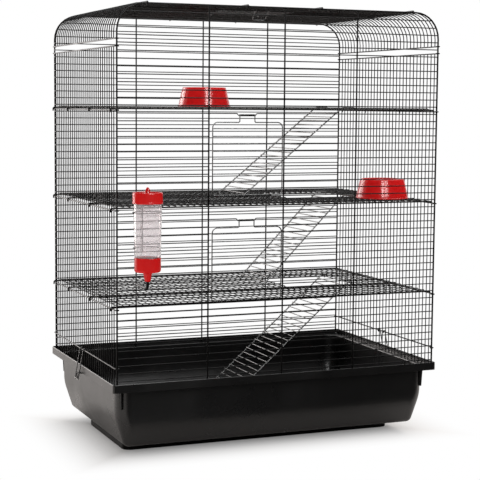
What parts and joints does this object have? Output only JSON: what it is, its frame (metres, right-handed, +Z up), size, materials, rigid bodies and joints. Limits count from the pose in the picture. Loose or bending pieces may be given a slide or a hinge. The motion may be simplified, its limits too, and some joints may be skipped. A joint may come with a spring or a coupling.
{
  "type": "rat cage",
  "caption": "Tall wire rodent cage on a deep plastic tray, with mesh shelves, ladders, hinged wire doors, food bowls and a drinking bottle.",
  "frame": {"origin": "centre of the underside of the tray's foot, on the surface that it stands on", "axes": "+X to the right seen from the front, the front with its doors faces -Y, +Z up"},
  "size_m": [0.8212, 0.5946, 1.0049],
  "materials": {
    "tray_plastic": "satin",
    "black_wire": "semi-gloss",
    "zinc_wire": "bright zinc",
    "red_plastic": "gloss",
    "clear_plastic": "clear",
    "dark_steel": "polished",
    "seal_rubber": "matt"
  },
  "bodies": {
    "tray": {"tray": "tray_plastic"},
    "wire_top": {"front_panel": "black_wire", "back_panel": "black_wire", "left_side_panel": "black_wire", "right_side_panel": "black_wire", "roof_panel": "black_wire", "upper_shelf": "black_wire", "middle_shelf": "black_wire", "lower_shelf": "black_wire", "bottle_holder": "zinc_wire"},
    "upper_door": {"upper_door": "zinc_wire"},
    "lower_door": {"lower_door": "zinc_wire"},
    "roof_door": {"roof_door": "zinc_wire"},
    "roof_latch": {"roof_door_latch": "zinc_wire"},
    "left_clip": {"left_rim_clip": "zinc_wire"},
    "right_clip": {"right_rim_clip": "zinc_wire"},
    "upper_ladder": {"upper_ladder": "zinc_wire"},
    "middle_ladder": {"middle_ladder": "zinc_wire"},
    "lower_ladder": {"lower_ladder": "zinc_wire"},
    "upper_bowl": {"upper_bowl": "red_plastic"},
    "middle_bowl": {"middle_bowl": "red_plastic"},
    "bottle": {"bottle_body": "clear_plastic", "bottle_screw_cap": "red_plastic", "bottle_seal": "seal_rubber", "bottle_tube": "dark_steel"},
    "bottle_lid": {"bottle_lid": "red_plastic"},
    "bottle_ball": {"bottle_ball": "dark_steel"}
  },
  "joints": [
    {"name": "wire_top_lift", "type": "slide", "parent": "tray", "child": "wire_top", "axis": [0, 0, 1], "range_m": [0, 0.15]},
    {"name": "upper_door_hinge", "type": "hinge", "parent": "wire_top", "child": "upper_door", "pos_m": [-0.0875, -0.25457, 0.5817], "axis": [1, 0, 0], "range_deg": [0, 160]},
    {"name": "lower_door_hinge", "type": "hinge", "parent": "wire_top", "child": "lower_door", "pos_m": [-0.0875, -0.25457, 0.34902], "axis": [1, 0, 0], "range_deg": [0, 160]},
    {"name": "roof_door_hinge", "type": "hinge", "parent": "wire_top", "child": "roof_door", "pos_m": [0, 0.04145, 0.99954], "axis": [-1, 0, 0], "range_deg": [0, 160]},
    {"name": "roof_latch_swing", "type": "hinge", "parent": "roof_door", "child": "roof_latch", "pos_m": [0.004, -0.11985, 1.00137], "axis": [-1, 0, 0], "range_deg": [0, 80]},
    {"name": "left_clip_swing", "type": "hinge", "parent": "wire_top", "child": "left_clip", "pos_m": [-0.3936, 0, 0.212], "axis": [0, 1, 0], "range_deg": [0, 100]},
    {"name": "right_clip_swing", "type": "hinge", "parent": "wire_top", "child": "right_clip", "pos_m": [0.3936, 0, 0.212], "axis": [0, -1, 0], "range_deg": [0, 100]},
    {"name": "upper_ladder_lift", "type": "hinge", "parent": "wire_top", "child": "upper_ladder", "pos_m": [0.2775, 0.025, 0.77605], "axis": [0, 1, 0], "range_deg": [0, 25]},
    {"name": "middle_ladder_lift", "type": "hinge", "parent": "wire_top", "child": "middle_ladder", "pos_m": [0.2775, 0.025, 0.56105], "axis": [0, 1, 0], "range_deg": [0, 25]},
    {"name": "lower_ladder_lift", "type": "hinge", "parent": "wire_top", "child": "lower_ladder", "pos_m": [0.2775, 0.025, 0.34605], "axis": [0, 1, 0], "range_deg": [0, 25]},
    {"name": "upper_bowl_lift", "type": "slide", "parent": "wire_top", "child": "upper_bowl", "axis": [0, 0, 1], "range_m": [0, 0.06]},
    {"name": "middle_bowl_lift", "type": "slide", "parent": "wire_top", "child": "middle_bowl", "axis": [0, 0, 1], "range_m": [0, 0.06]},
    {"name": "bottle_pull", "type": "slide", "parent": "wire_top", "child": "bottle", "axis": [0, -1, 0], "range_m": [0, 0.08]},
    {"name": "bottle_lid_pull", "type": "slide", "parent": "bottle", "child": "bottle_lid", "axis": [0, 0, 1], "range_m": [0, 0.04]},
    {"name": "bottle_ball_push", "type": "slide", "parent": "bottle", "child": "bottle_ball", "axis": [0, -1, 0], "range_m": [0, 0.0015]}
  ]
}
